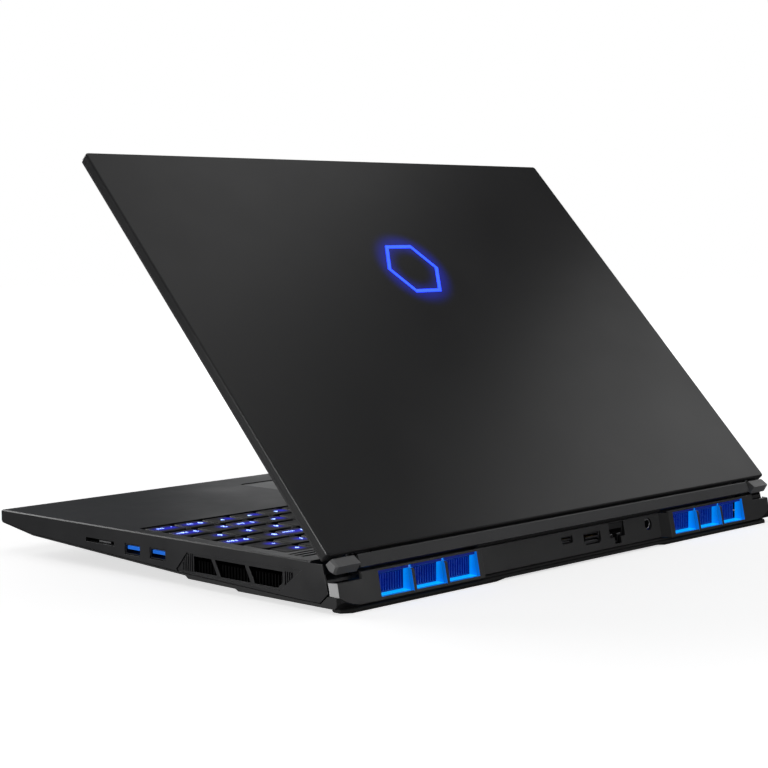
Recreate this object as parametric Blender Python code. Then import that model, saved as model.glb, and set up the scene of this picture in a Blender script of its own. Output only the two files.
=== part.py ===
"""Sixteen-inch laptop computer, standing on its feet with the lid half open.

All sizes below are in millimetres in the deck frame: X to the right of the person who types, Y from the front
edge of the base to the rear, Z up from the top of the palm rest. place() turns them into metres in the part's
own frame, whose origin lies on the ground, in the middle of the object's box. The lid and all that turns with it
is drawn closed, around the hinge axis, and hangs from an empty that opens it to its rest angle.
"""

from math import cos, pi, radians, sin

import bmesh
import bpy
from mathutils import Matrix

# ---- driving dimensions, mm ----
MM = 0.001
HALF_W = 179.5  # half the width of base and lid
DECK_H = 23.0  # top of the palm rest above the ground
REAR_Y = 265.0  # rear edge of the rear foot
FRONT_Y = -0.2  # front edge of the closed lid, and of the box
MID_Y = (REAR_Y + 0.0) / 2  # the box runs from the base's front edge to the rear foot
WALL = 1.5
GAP = 0.3

PIVOT_Y, PIVOT_Z = 254.3, 2.1  # hinge axis
REST_OPEN = 47.16  # degrees that the lid is open at rest
LID_T = 6.0
LID_LOW = 0.4  # gap between closed lid and deck
LID_REAR = 255.8
LID_FRONT = -0.2

KEY_U = 18.98  # key pitch
KEY_GAP = 2.3
KEY_TOP = -0.3
KEY_BASE = -2.0
KEY_WEB = -2.6
KEYBOARD_X = 9 * KEY_U  # half width of the key field
ROW_Y = [120.4 + KEY_U * i for i in range(5)] + [213.3]
WELL = (-171.8, 171.8, 110.8, 222.0)  # opening in the deck for the keys
TOUCHPAD = (-88.8, 27.2, 25.0, 98.0)
TROUGH_Y, TROUGH_Z = 245.5, -7.8  # where the deck ends, and the floor under the hinge bar

# Rear wall: outer face leans out from top to bottom, with a recess for the sockets.
FRAME_TOP, FRAME_LOW = -5.6, -19.8
FRAME_Y_TOP, FRAME_Y_LOW = 261.5, 264.3
FRAME_T = 1.6
RECESS_X, RECESS_RUN, RECESS_DEPTH = 78.5, 3.5, 5.0
RECESS_TOP = -6.7  # leaves the hinge bar room to turn
CORNER_X, CORNER_RUN = 177.7, 4.4  # where the rear wall turns forward at its ends, and how far
EXHAUST_CELLS = [(82.2, 104.3), (106.2, 127.4), (129.3, 151.0)]
EXHAUST_Z = (-18.5, -6.6)
RIB_TOP = -8.6
FRAME_FOOT = [(165.0, -19.8), (170.0, -18.9), (174.0, -17.4), (177.0, -15.8), (183.0, -13.0)]  # its lower corner

SIDE_TOP = [(0.0, 0.0), (246.5, 0.0), (246.5, -0.9), (254.2, -0.9), (257.9, -13.8), (252.4, -18.6)]
SEAM = [(239.0, -18.6), (153.0, -16.2), (29.0, -10.2), (0.0, -6.2)]
SKIRT = [(0.3, -7.0), (29.0, -11.4), (156.9, -17.6), (159.1, -19.0), (194.0, -19.5), (196.2, -20.5), (262.0, -20.6)]
BELLY = [(0.3, -7.0), (29.0, -14.6), (156.9, -18.9), (159.1, -20.2), (194.0, -20.5), (196.2, -20.9), (262.0, -20.9)]

SIDE_WINDOWS = [
    [(162.9, -7.4), (175.9, -7.4), (180.2, -15.1), (162.9, -15.1)],
    [(178.3, -7.4), (200.3, -7.4), (204.6, -15.4), (182.9, -15.4)],
    [(202.8, -7.4), (226.7, -7.4), (226.7, -12.7), (223.4, -15.4), (207.3, -15.4)],
]
RECESS_IN = 0.9  # depth of the side recess
EDGE = 0.6  # chamfer round the deck
SIDE_RECESS = [(150.0, -15.3), (158.5, -6.0), (240.6, -4.8), (226.0, -16.3), (151.0, -16.0)]

SD_SLOT = (76.6, 100.5, -9.2, -7.0)
USB_RIGHT_Y = (115.6, 135.8)
USB_LEFT_Y = 94.0
USB_Z = -9.45
USB_SIZE = (12.6, 5.7)
JACK_Y = (112.0, 124.0)
JACK_Z = -9.6
USB_C = (6.0, -11.3, 8.8, 3.2)  # middle x, middle z, width, height
HDMI = (-15.0, -12.9, 14.0, 5.6)
ETHERNET = (-36.6, -11.0, 12.8, 7.2)
DC_JACK = (-65.0, -11.6, 3.0)


# ---- frames and meshes ----
def place(x, y, z):
    """A deck-frame point in mm as a point of the part's frame in metres."""
    return (x * MM, (y - MID_Y) * MM, (z + DECK_H) * MM)


def material(name, colour, roughness, metallic=0.0, glow=0.0):
    made = bpy.data.materials.new(name)
    made.use_nodes = True
    shader = made.node_tree.nodes["Principled BSDF"]
    shader.inputs["Base Color"].default_value = (*colour, 1.0)
    shader.inputs["Roughness"].default_value = roughness
    shader.inputs["Metallic"].default_value = metallic
    if glow:
        shader.inputs["Emission Color"].default_value = (*colour, 1.0)
        shader.inputs["Emission Strength"].default_value = glow
    return made


def add_object(name, bm, finish=None, parent=None):
    bmesh.ops.recalc_face_normals(bm, faces=bm.faces)
    mesh = bpy.data.meshes.new(name)
    bm.to_mesh(mesh)
    bm.free()
    made = bpy.data.objects.new(name, mesh)
    bpy.context.scene.collection.objects.link(made)
    if finish:
        mesh.materials.append(finish)
    if parent:
        made.parent = parent
        made.matrix_parent_inverse = CLOSED_INVERSE
    return made


def add_loft(bm, rings):
    """Closed skin through rings of points with equal counts, with an n-gon at each end."""
    rows = [[bm.verts.new(place(*point)) for point in ring] for ring in rings]
    count = len(rows[0])
    for low, high in zip(rows, rows[1:]):
        for i in range(count):
            j = (i + 1) % count
            bm.faces.new((low[i], low[j], high[j], high[i]))
    bm.faces.new(rows[0])
    bm.faces.new(rows[-1])


def add_prism(bm, axis, outline, low, high):
    """Outline extruded along an axis: (y, z) points for X, (x, z) for Y, (x, y) for Z."""
    order = {"X": lambda a, b, c: (c, a, b), "Y": lambda a, b, c: (a, c, b), "Z": lambda a, b, c: (a, b, c)}[axis]
    add_loft(bm, [[order(a, b, end) for a, b in outline] for end in (low, high)])


def rect(x0, x1, y0, y1):
    return [(x0, y0), (x1, y0), (x1, y1), (x0, y1)]


def circle(x, y, radius, steps=20):
    return [(x + radius * cos(2 * pi * i / steps), y + radius * sin(2 * pi * i / steps)) for i in range(steps)]


def rounded(x0, x1, y0, y1, radius, steps=3):
    """Rectangle with round corners, anticlockwise."""
    corners = [(x1 - radius, y1 - radius, 0), (x0 + radius, y1 - radius, 90), (x0 + radius, y0 + radius, 180),
               (x1 - radius, y0 + radius, 270)]
    return [(x + radius * cos(radians(start + 90 * i / steps)), y + radius * sin(radians(start + 90 * i / steps)))
            for x, y, start in corners for i in range(steps + 1)]


def mirrored(outline):
    return [(-x, y) for x, y in outline]


def prism(name, axis, outline, low, high, finish=None, parent=None):
    bm = bmesh.new()
    add_prism(bm, axis, outline, low, high)
    return add_object(name, bm, finish, parent)


def box(name, x0, x1, y0, y1, z0, z1, finish=None, parent=None):
    return prism(name, "Z", rect(x0, x1, y0, y1), z0, z1, finish, parent)


def shapes(name, prisms, parent=None):
    """Several prisms, clear of each other, as one cutter mesh."""
    bm = bmesh.new()
    for axis, outline, low, high in prisms:
        add_prism(bm, axis, outline, low, high)
    return add_object(name, bm, parent=parent)


def boolean(target, tool, operation):
    modifier = target.modifiers.new(tool.name, "BOOLEAN")
    modifier.operation = operation
    modifier.solver = "EXACT"
    modifier.object = tool
    tool.hide_render = True
    tool.display_type = "WIRE"
    return target


def cut(target, *prisms):
    """Cuts prisms, given as for add_prism, out of the target."""
    tool = shapes(f"{target.name}_cut_{len(target.modifiers)}", prisms, target.parent)
    return boolean(target, tool, "DIFFERENCE")


def join(target, *prisms):
    for piece in prisms:
        tool = shapes(f"{target.name}_join_{len(target.modifiers)}", [piece], target.parent)
        boolean(target, tool, "UNION")
    return target


def both_sides(prisms):
    """The prisms and their mirror images in the middle plane."""
    flip = {"X": lambda outline, a, b: (outline, -b, -a),
            "Y": lambda outline, a, b: (mirrored(outline), a, b),
            "Z": lambda outline, a, b: (mirrored(outline), a, b)}
    return prisms + [(axis, *flip[axis](outline, a, b)) for axis, outline, a, b in prisms]


def level(points, y):
    """Height of a polyline of (y, z) points at y."""
    points = sorted(points)
    for (y0, z0), (y1, z1) in zip(points, points[1:]):
        if y <= y1:
            return z0 + (z1 - z0) * (max(y, y0) - y0) / (y1 - y0)
    return points[-1][1]


def frame_y(z):
    """Outer face of the rear wall at height z."""
    return FRAME_Y_TOP + (FRAME_Y_LOW - FRAME_Y_TOP) * (FRAME_TOP - z) / (FRAME_TOP - FRAME_LOW)


# ---- materials ----
def make_materials():
    table = {
        "black_satin": ((0.022, 0.022, 0.024), 0.42),
        "dark_grey": ((0.045, 0.045, 0.047), 0.48),
        "grey_cap": ((0.09, 0.09, 0.09), 0.45),
        "black_plastic": ((0.012, 0.012, 0.013), 0.55),
        "key_black": ((0.010, 0.010, 0.012), 0.5),
        "screen": ((0.006, 0.006, 0.008), 0.12),
        "blue_vent": ((0.0, 0.22, 0.95), 0.4),
        "board_green": ((0.01, 0.09, 0.05), 0.5),
        "battery_black": ((0.03, 0.03, 0.035), 0.6),
        "rubber": ((0.015, 0.015, 0.015), 0.85),
    }
    made = {name: material(name, colour, roughness) for name, (colour, roughness) in table.items()}
    made["steel"] = material("steel", (0.55, 0.55, 0.56), 0.3, 1.0)
    made["aluminium"] = material("aluminium", (0.7, 0.7, 0.72), 0.35, 1.0)
    made["copper"] = material("copper", (0.75, 0.36, 0.18), 0.3, 1.0)
    made["blue_light"] = material("blue_light", (0.02, 0.12, 1.0), 0.3, glow=4.0)
    return made


# ---- lid ----
LID_X = HALF_W
LID_TOP = LID_LOW + LID_T
SKIN_LOW = LID_TOP - 1.2
HINGE_NOTCH = (149.3, 168.5)  # where the hinge knuckles sit
KNUCKLE_R = 1.9
LID_CORNER = 1.4
PIN_R = 1.0


def lid_ring(inset, z):
    return [(x, y, z) for x, y in rounded(-LID_X + inset, LID_X - inset, LID_FRONT + inset, LID_REAR - inset,
                                              LID_CORNER)]


def build_lid(mats, lid):
    bm = bmesh.new()
    add_loft(bm, [lid_ring(0, 1.9), lid_ring(0, LID_TOP - 0.8), lid_ring(0.25, LID_TOP - 0.25), lid_ring(0.8, LID_TOP)])
    cover = add_object("lid_back_cover", bm, mats["black_satin"], lid)
    cut(cover, ("Z", rounded(-LID_X + 1.3, LID_X - 1.3, LID_FRONT + 1.3, LID_REAR - 1.3, 0.8), 0.0, SKIN_LOW))
    cut(cover, *both_sides([("Z", rect(*HINGE_NOTCH, 250.0, 262.0), 0.0, 4.6)]))
    cut(cover, ("Z", hexagon_ring(EMBLEM_R + GAP), LID_TOP - 0.7, LID_TOP + 1.0))
    join(cover, ("Z", hexagon_ring(EMBLEM_R - EMBLEM_W - GAP), LID_TOP - 1.0, LID_TOP))

    bezel = prism("display_bezel", "Z", rounded(-LID_X + 0.3, LID_X - 0.3, LID_FRONT + 0.3, LID_REAR - 0.3, 1.2),
                  LID_LOW, 1.6, mats["black_plastic"], lid)
    cut(bezel, ("Z", rect(-172.4, 172.4, 10.0, 225.6), 0.0, 2.0))
    cut(bezel, *both_sides([("Z", rect(*HINGE_NOTCH, 251.4, 262.0), 0.0, 2.0)]))
    cut(bezel, ("Z", circle(0, 5.0, 1.5, 12), 0.0, 2.0))

    box("lcd_panel", -175.5, 175.5, 7.3, 230.0, 1.9, 4.7, mats["screen"], lid)
    camera = box("webcam_module", -16.0, 16.0, 2.2, 6.9, 1.9, 4.6, mats["black_plastic"], lid)
    join(camera, ("Z", circle(0, 5.0, 1.1, 12), 0.9, 2.4))

    emblem = prism("lid_emblem", "Z", hexagon_ring(EMBLEM_R), LID_TOP - 0.35, LID_TOP + 0.1, mats["blue_light"], lid)
    cut(emblem, ("Z", hexagon_ring(EMBLEM_R - EMBLEM_W), LID_TOP - 1.0, LID_TOP + 1.0))


EMBLEM_R, EMBLEM_W = 20.3, 2.3
EMBLEM_Y = LID_REAR - 171.0


def hexagon_ring(radius):
    return circle(-2.0, EMBLEM_Y, radius, 6)


def build_lid_hinge(mats, lid):
    """Bar, caps, arms and pins at the foot of the lid, drawn as they stand at rest and turned back to closed."""
    bar = [(257.5, 1.5), (258.0, 2.1), (258.5, 1.5), (260.5, -3.7), (257.0, -5.2), (253.6, -3.6), (253.9, -1.9)]
    prism("hinge_bar", "X", at_closed(bar), -160.8, 160.8, mats["dark_grey"], lid)
    cap = [(258.2, 2.0), (262.7, -1.0), (260.1, -5.2), (257.3, -3.6), (254.9, -0.4)]
    bevel = [(257.8, 1.2), (261.4, -1.2), (259.7, -4.3), (257.2, -3.3), (255.3, -0.8)]
    knuckle = circle(PIVOT_Y, PIVOT_Z, KNUCKLE_R)
    for side, name in ((1, "right"), (-1, "left")):
        bm = bmesh.new()
        ends = [(163.0, at_closed(cap)), (177.0, at_closed(cap)), (178.3, at_closed(bevel))]
        add_loft(bm, [[(side * x, y, z) for y, z in outline] for x, outline in ends])
        add_object(f"hinge_cap_{name}", bm, mats["grey_cap"], lid)
        lo, hi = sorted((side * 128.0, side * 160.6))
        arm = box(f"hinge_arm_{name}", lo, hi, 233.0, 250.0, 2.2, 4.4, mats["steel"], lid)
        lo, hi = sorted((side * 151.0, side * 160.6))
        web = [(249.0, 2.6), (251.6, 2.3), (254.3, 0.9), (254.3, 3.3), (249.0, 4.4)]
        join(arm, ("X", web, lo, hi), ("X", knuckle, lo, hi))
        lo, hi = sorted((side * 149.0, side * 163.0))
        cut(arm, ("X", circle(PIVOT_Y, PIVOT_Z, PIN_R + 0.3, 16), lo, hi))
        lo, hi = sorted((side * 150.6, side * 163.6))
        prism(f"hinge_pin_{name}", "X", circle(PIVOT_Y, PIVOT_Z, PIN_R, 16), lo, hi, mats["steel"], lid)


def at_closed(outline):
    """(y, z) points of something seen at the rest angle, as they are when the lid is closed."""
    c, s = cos(radians(REST_OPEN)), sin(radians(REST_OPEN))
    turned = []
    for y, z in outline:
        dy, dz = y - PIVOT_Y, z - PIVOT_Z
        turned.append((PIVOT_Y + dy * c - dz * s, PIVOT_Z + dy * s + dz * c))
    return turned


def build_brackets(mats):
    """Steel ears that stand in the slots of the trough floor and hold the hinge pins."""
    ear = [(PIVOT_Y - 1.95, PIVOT_Z - 0.6), (249.8, -9.9), (240.0, -9.9), (240.0, -11.4), (254.0, -11.4),
           (254.0, -7.4), (254.8, PIVOT_Z - 1.9)]
    head = [(y, z) for y, z in circle(PIVOT_Y, PIVOT_Z, 2.0)]
    for side, name in ((1, "right"), (-1, "left")):
        lo, hi = sorted((side * 161.3, side * 162.6))
        bracket = prism(f"hinge_bracket_{name}", "X", ear, lo, hi, mats["steel"])
        join(bracket, ("X", head, lo, hi))
        lo, hi = sorted((side * 151.0, side * 162.2))
        join(bracket, ("X", rect(240.0, 252.0, -11.4, -10.2), lo, hi))
        lo, hi = sorted((side * 161.0, side * 163.0))
        cut(bracket, ("X", circle(PIVOT_Y, PIVOT_Z, PIN_R + 0.15, 16), lo, hi))


# ---- base shells ----
def speaker_slots():
    """Rows of slots through the deck behind the keyboard, left and right of the power button."""
    found = []
    for y, width in ((225.2, 2.0), (229.2, 2.2), (233.4, 2.6)):
        for x in (26.0, 76.0, 126.0):
            found.append(("Z", rect(x, x + 47.8, y, y + width), -4.0, 2.0))
    return both_sides(found)


def build_top_cover(mats):
    cover = prism("top_cover", "X", SIDE_TOP + SEAM, -HALF_W, HALF_W, mats["dark_grey"])
    inside = [(WALL, -WALL), (244.0, -WALL), (244.0, TROUGH_Z - WALL), (270.0, TROUGH_Z - WALL), (270.0, -40.0),
              (WALL, -40.0)]
    cut(cover, ("X", inside, -HALF_W + WALL, HALF_W - WALL))
    trough = [(TROUGH_Y, 3.0), (TROUGH_Y, TROUGH_Z), (270.0, TROUGH_Z), (270.0, 3.0)]
    cut(cover, ("X", trough, -178.6, 178.6))
    cut(cover, ("Z", rect(-77.7, 77.7, 252.8, 262.0), -20.0, 2.0),
        *both_sides([("Z", rect(80.8, 153.0, 252.8, 262.0), -20.0, 2.0),
                     ("Z", rect(160.9, 163.1, 246.8, 256.0), -12.0, -5.0)]))
    x0, x1, y0, y1 = TOUCHPAD
    power = (-9.0, 9.0, 229.0, 235.5)
    cut(cover, ("Z", rounded(*WELL, 2.5), -4.0, 2.0),
        ("Z", rounded(x0 - 0.4, x1 + 0.4, y0 - 0.4, y1 + 0.4, 2.5), -4.0, 2.0),
        ("Z", rounded(power[0] - 0.4, power[1] + 0.4, power[2] - 0.4, power[3] + 0.4, 1.5), -4.0, 2.0))
    cut(cover, *speaker_slots())
    cut(cover, *both_sides([("X", SIDE_RECESS, HALF_W - RECESS_IN, HALF_W + 2.0)]))
    cut(cover, *both_sides([("Y", [(HALF_W - EDGE - 0.5, 0.5), (HALF_W + 0.5, -EDGE - 0.5), (HALF_W + 0.5, 0.5)],
                             -1.0, 260.0)]))
    cut(cover, ("X", [(EDGE + 0.5, 0.5), (-0.5, -EDGE - 0.5), (-0.5, 0.5)], -200.0, 200.0))
    cut(cover, *both_sides([("X", window, 175.0, 183.0) for window in SIDE_WINDOWS]))
    width, height = USB_SIZE
    usb = [("X", rect(y - width / 2, y + width / 2, USB_Z - height / 2, USB_Z + height / 2), 175.0, 183.0)
           for y in USB_RIGHT_Y]
    left_usb = rect(USB_LEFT_Y - width / 2, USB_LEFT_Y + width / 2, USB_Z - height / 2, USB_Z + height / 2)
    jacks = [("X", circle(y, JACK_Z, 3.1, 16), -183.0, -175.0) for y in JACK_Y]
    cut(cover, ("X", rect(*SD_SLOT), 175.0, 183.0), *usb, ("X", left_usb, -183.0, -175.0), *jacks)


def bottom_rings(offset, inset, y0, y1):
    """Cross sections of the belly, one ring per station along X, raised by offset."""
    stations = sorted({y0, y1, *[y for y, _ in SKIRT if y0 < y < y1]})
    rings = []
    for x, mix in ((-HALF_W + 0.2 + inset, 0.0), (-176.0 + inset, 0.0), (-140.0, 1.0), (140.0, 1.0),
                   (176.0 - inset, 0.0), (HALF_W - 0.2 - inset, 0.0)):
        low = [(x, y, offset + level(SKIRT, y) * (1 - mix) + level(BELLY, y) * mix) for y in stations]
        rings.append(low)
    return stations, rings


def build_bottom_cover(mats):
    top = [(252.2, -18.95), (239.0, -18.95), (153.0, -16.55), (29.0, -10.55), (0.3, -6.55)]
    stations, rings = bottom_rings(0.0, 0.0, 0.3, 262.0)
    bm = bmesh.new()
    closed = []
    for ring in rings:
        x = ring[0][0]
        closed.append(ring + [(x, 262.0, -20.15), (x, 253.0, -20.15)] + [(x, y, z) for y, z in top])
    add_loft(bm, closed)
    cover = add_object("bottom_cover", bm, mats["black_plastic"])
    stations, rings = bottom_rings(1.5, 1.8, 3.0, 251.0)
    bm = bmesh.new()
    add_loft(bm, [ring + [(ring[0][0], 251.0, 5.0), (ring[0][0], 3.0, 5.0)] for ring in rings])
    boolean(cover, add_object("bottom_cover_inside", bm), "DIFFERENCE")
    join(cover, ("Z", rect(-174.0, 174.0, 250.0, 261.8), -20.6, -20.15 + 0.05))
    for name, sign in (("right", 1), ("left", -1)):
        corner = [(252.9, -18.95), (258.4, -14.2), (264.0, -14.2), (264.3, -17.6), (262.0, -20.5), (250.8, -20.5)]
        lo, hi = sorted((sign * 165.4, sign * (HALF_W - 0.2)))
        wedge = prism(f"bottom_cover_corner_{name}", "X", corner, lo, hi)
        over = [(160.0, -20.1), (165.0, -20.1)] + [(x, z - GAP) for x, z in FRAME_FOOT] + [(185.0, 0.0), (160.0, 0.0)]
        chamfer = [(HALF_W - 1.9, 264.4), (HALF_W - 0.2, 263.0), (190.0, 255.0), (190.0, 280.0), (HALF_W - 1.9, 280.0)]
        cuts = [("Y", over, 240.0, 280.0), ("Z", chamfer, -30.0, 0.0)]
        flip = cuts if sign > 0 else [(axis, mirrored(outline), a, b) for axis, outline, a, b in cuts]
        for piece in flip:
            cut(wedge, piece)
        boolean(cover, wedge, "UNION")
    grille = [("Z", rect(72.0 + 12.0 * i, 80.0 + 12.0 * i, 168.0 + 8.0 * j, 173.0 + 8.0 * j), -24.0, -15.0)
              for i in range(6) for j in range(7)]
    cut(cover, *both_sides(grille))


def build_rear_frame(mats):
    """Rear wall: a ribbon in plan with the socket recess and chamfered ends, leaning out towards its foot."""
    def plan(z, inner):
        y = frame_y(z)
        outer = [(-HALF_W + 0.2, y - CORNER_RUN), (-CORNER_X, y), (-RECESS_X, y),
                 (-RECESS_X + RECESS_RUN, y - RECESS_DEPTH)]
        shift = FRAME_T if inner else 0.0
        side = 0.7 * shift
        half = [(outer[0][0] + 0.6 * shift, outer[0][1] + 0.12 * shift),
                (outer[1][0] + 0.8 * shift, outer[1][1] - shift),
                (outer[2][0] - 0.55 * shift, outer[2][1] - shift),
                (outer[3][0] - side + 0.1 * shift, outer[3][1] - shift)]
        return [(x, y, z) for x, y in half] + [(-x, y, z) for x, y in reversed(half)]

    bm = bmesh.new()
    add_loft(bm, [plan(z, False) + plan(z, True)[::-1] for z in (FRAME_LOW, FRAME_TOP)])
    frame = add_object("rear_frame", bm, mats["dark_grey"])
    notch = [("Z", rect(162.0, 183.0, 250.0, 270.0), -8.8, 0.0)]
    foot = [(162.0, -21.0), *FRAME_FOOT, (183.0, -21.0)]
    cut(frame, *both_sides(notch), ("Z", rect(-77.9, 77.9, 240.0, 270.0), RECESS_TOP, 0.0))
    cut(frame, *both_sides([("Y", foot, 250.0, 270.0)]))
    cut(frame, *both_sides([("Y", rect(EXHAUST_CELLS[0][0], EXHAUST_CELLS[2][1], *EXHAUST_Z), 255.0, 270.0)]))
    low = -19.3
    rib = [(frame_y(RIB_TOP) - 1.5, RIB_TOP + 0.3), (frame_y(RIB_TOP) - 0.4, RIB_TOP + 0.3),
           (frame_y(RIB_TOP) + 0.4, RIB_TOP - 0.4), (frame_y(low) + 0.4, low), (frame_y(low) - 1.5, low)]
    for near, far in zip(EXHAUST_CELLS, EXHAUST_CELLS[1:]):
        join(frame, *both_sides([("X", rib, near[1], far[0])]))
    sockets = [("Y", socket_outline(*size, GAP), 250.0, 262.0) for size in (USB_C, HDMI)]
    cut(frame, *sockets, ("Y", ethernet_outline(GAP), 250.0, 262.0),
        ("Y", circle(DC_JACK[0], DC_JACK[1], DC_JACK[2] + GAP, 16), 250.0, 262.0))


def socket_outline(x, z, width, height, grow=0.0):
    """Rectangle with cut corners."""
    w, h, c = width / 2 + grow, height / 2 + grow, height * 0.28
    return [(x - w + c, z - h), (x + w - c, z - h), (x + w, z - h + c), (x + w, z + h), (x - w, z + h),
            (x - w, z - h + c)]


def ethernet_outline(grow=0.0):
    """Wide mouth with the latch step below it."""
    x, z, width, height = ETHERNET
    w, h = width / 2 + grow, height / 2 + grow
    return [(x - 2.6 - grow, z - h - 3.6), (x + 2.6 + grow, z - h - 3.6), (x + 2.6 + grow, z - h), (x + w, z - h),
            (x + w, z + h), (x - w, z + h), (x - w, z - h), (x - 2.6 - grow, z - h)]


def build_exhausts(mats):
    """Blue cell liners behind the rear windows, and the fin stacks behind them."""
    for side, name in ((1, "right"), (-1, "left")):
        x0, x1 = EXHAUST_CELLS[0][0] - 1.2, EXHAUST_CELLS[2][1] + 1.2
        top_z, low_z = -7.0, -19.6
        outline = [(FIN_END + GAP, low_z), (frame_y(low_z) - FRAME_T - GAP, low_z),
                   (frame_y(top_z) - FRAME_T - GAP, top_z), (FIN_END + GAP, top_z)]
        lo, hi = sorted((side * x0, side * x1))
        liner = prism(f"exhaust_liner_{name}", "X", outline, lo, hi, mats["blue_vent"])
        cells = [("Y", rect(side * near, side * far, EXHAUST_Z[0], -8.1), 250.0, 266.0) for near, far in EXHAUST_CELLS]
        cut(liner, *cells)
        fin_stack(f"rear_fins_{name}", "Y", side, (82.4, 150.8), (238.0, FIN_END), -18.6, 40, mats)
        fin_stack(f"side_fins_{name}", "X", side, (162.0, 228.0), (162.0, 176.6), -16.9, 30, mats)


FIN_END = 256.7  # the rear fins end here, close behind the windows


def fin_stack(name, along, side, span, run, z0, count, mats):
    """Comb of upright fins on a base plate. The air runs along the given axis."""
    (start, end), (front, back) = span, run
    pitch = (end - start) / count
    z1 = -9.7
    thin, base = 0.6, 0.5
    comb = [(start, z0), (end, z0)]
    for i in reversed(range(count)):
        x = start + pitch * i
        comb += [(x + pitch, z0 + base), (x + thin, z0 + base), (x + thin, z1), (x, z1)]
    comb[2] = (end, z0 + base)
    if along == "X":
        lo, hi = sorted((side * front, side * back))
        prism(name, "X", comb, lo, hi, mats["copper"])
    else:
        prism(name, "Y", comb if side > 0 else mirrored(comb), front, back, mats["copper"])


# ---- keyboard, touchpad and button ----
KEY_ROWS = {
    "key_row_space": [1.25, 1, 1, 1.25, 5.5] + [1] * 8,
    "key_row_shift": [2.25] + [1] * 10 + [1.75] + [1] * 4,
    "key_row_home": [1.75] + [1] * 11 + [2.25] + [1] * 3,
    "key_row_upper": [1.5] + [1] * 12 + [1.5] + [1] * 3,
    "key_row_number": [1] * 13 + [2] + [1] * 3,
    "key_row_function": [1] * 18,
}


def build_keyboard(mats):
    tray = box("keyboard_plate", -174.5, 174.5, 108.3, 224.5, -5.4, -1.8, mats["black_plastic"])
    cut(tray, ("Z", rect(-173.5, 173.5, 109.3, 223.5), -4.5, 0.0))
    for (name, widths), y in zip(KEY_ROWS.items(), ROW_Y):
        depth = 14.2 if name == "key_row_function" else KEY_U - KEY_GAP
        tops = []
        x = -KEYBOARD_X
        for width in widths:
            x0, x1 = x + KEY_GAP / 2, x + width * KEY_U - KEY_GAP / 2
            tops += [(x0, KEY_BASE), (x0 + 0.9, KEY_TOP), (x1 - 0.9, KEY_TOP), (x1, KEY_BASE)]
            x += width * KEY_U
        outline = tops + [(tops[-1][0], KEY_WEB), (tops[0][0], KEY_WEB)]
        prism(name, "Y", outline, y - depth / 2, y + depth / 2, mats["key_black"])
    x0, x1, y0, y1 = TOUCHPAD
    prism("touchpad", "Z", rounded(x0, x1, y0, y1, 2.2), -1.6, -0.35, mats["dark_grey"])
    prism("power_button", "Z", rounded(-9.0, 9.0, 229.0, 235.5, 1.2), -1.9, -0.2, mats["dark_grey"])


# ---- sockets ----
def usb_a(name, side, y, mats):
    width, height = USB_SIZE[0] - 2 * GAP, USB_SIZE[1] - 2 * GAP
    outer, inner = side * 179.0, side * 164.5
    lo, hi = sorted((outer, inner))
    shell = prism(name, "X", rect(y - width / 2, y + width / 2, USB_Z - height / 2, USB_Z + height / 2), lo, hi,
                  mats["steel"])
    top, low = USB_Z + height / 2 - 0.4, USB_Z - height / 2 + 0.4
    y0, y1 = y - width / 2 + 0.4, y + width / 2 - 0.4
    around = [(y1, low), (y0, low), (y0, top), (y1, top), (y1, top - 0.4), (y0 + 1.5, top - 0.4),
              (y0 + 1.5, top - 2.1), (y1, top - 2.1)]
    lo, hi = sorted((side * 180.0, side * 167.0))
    cut(shell, ("X", around, lo, hi))


def rear_socket(name, outline, hollow, tongue, y_front, mats, finish="steel"):
    """Socket body with its mouth at the rear and, inside it, a tongue that the hollow leaves standing."""
    body = prism(name, "Y", outline, 242.0, y_front, mats[finish])
    x0, x1, z0, z1 = hollow
    if tongue is None:
        cut(body, ("Y", rect(x0, x1, z0, z1), 246.0, y_front + 2.0))
        return body
    ta, tb, tc, td = tongue
    around = [(x0, z0), (x1, z0), (x1, z1), (x0, z1), (x0, td), (tb, td), (tb, tc), (x0, tc)]
    cut(body, ("Y", around, 246.0, y_front + 2.0))
    return body


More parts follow.
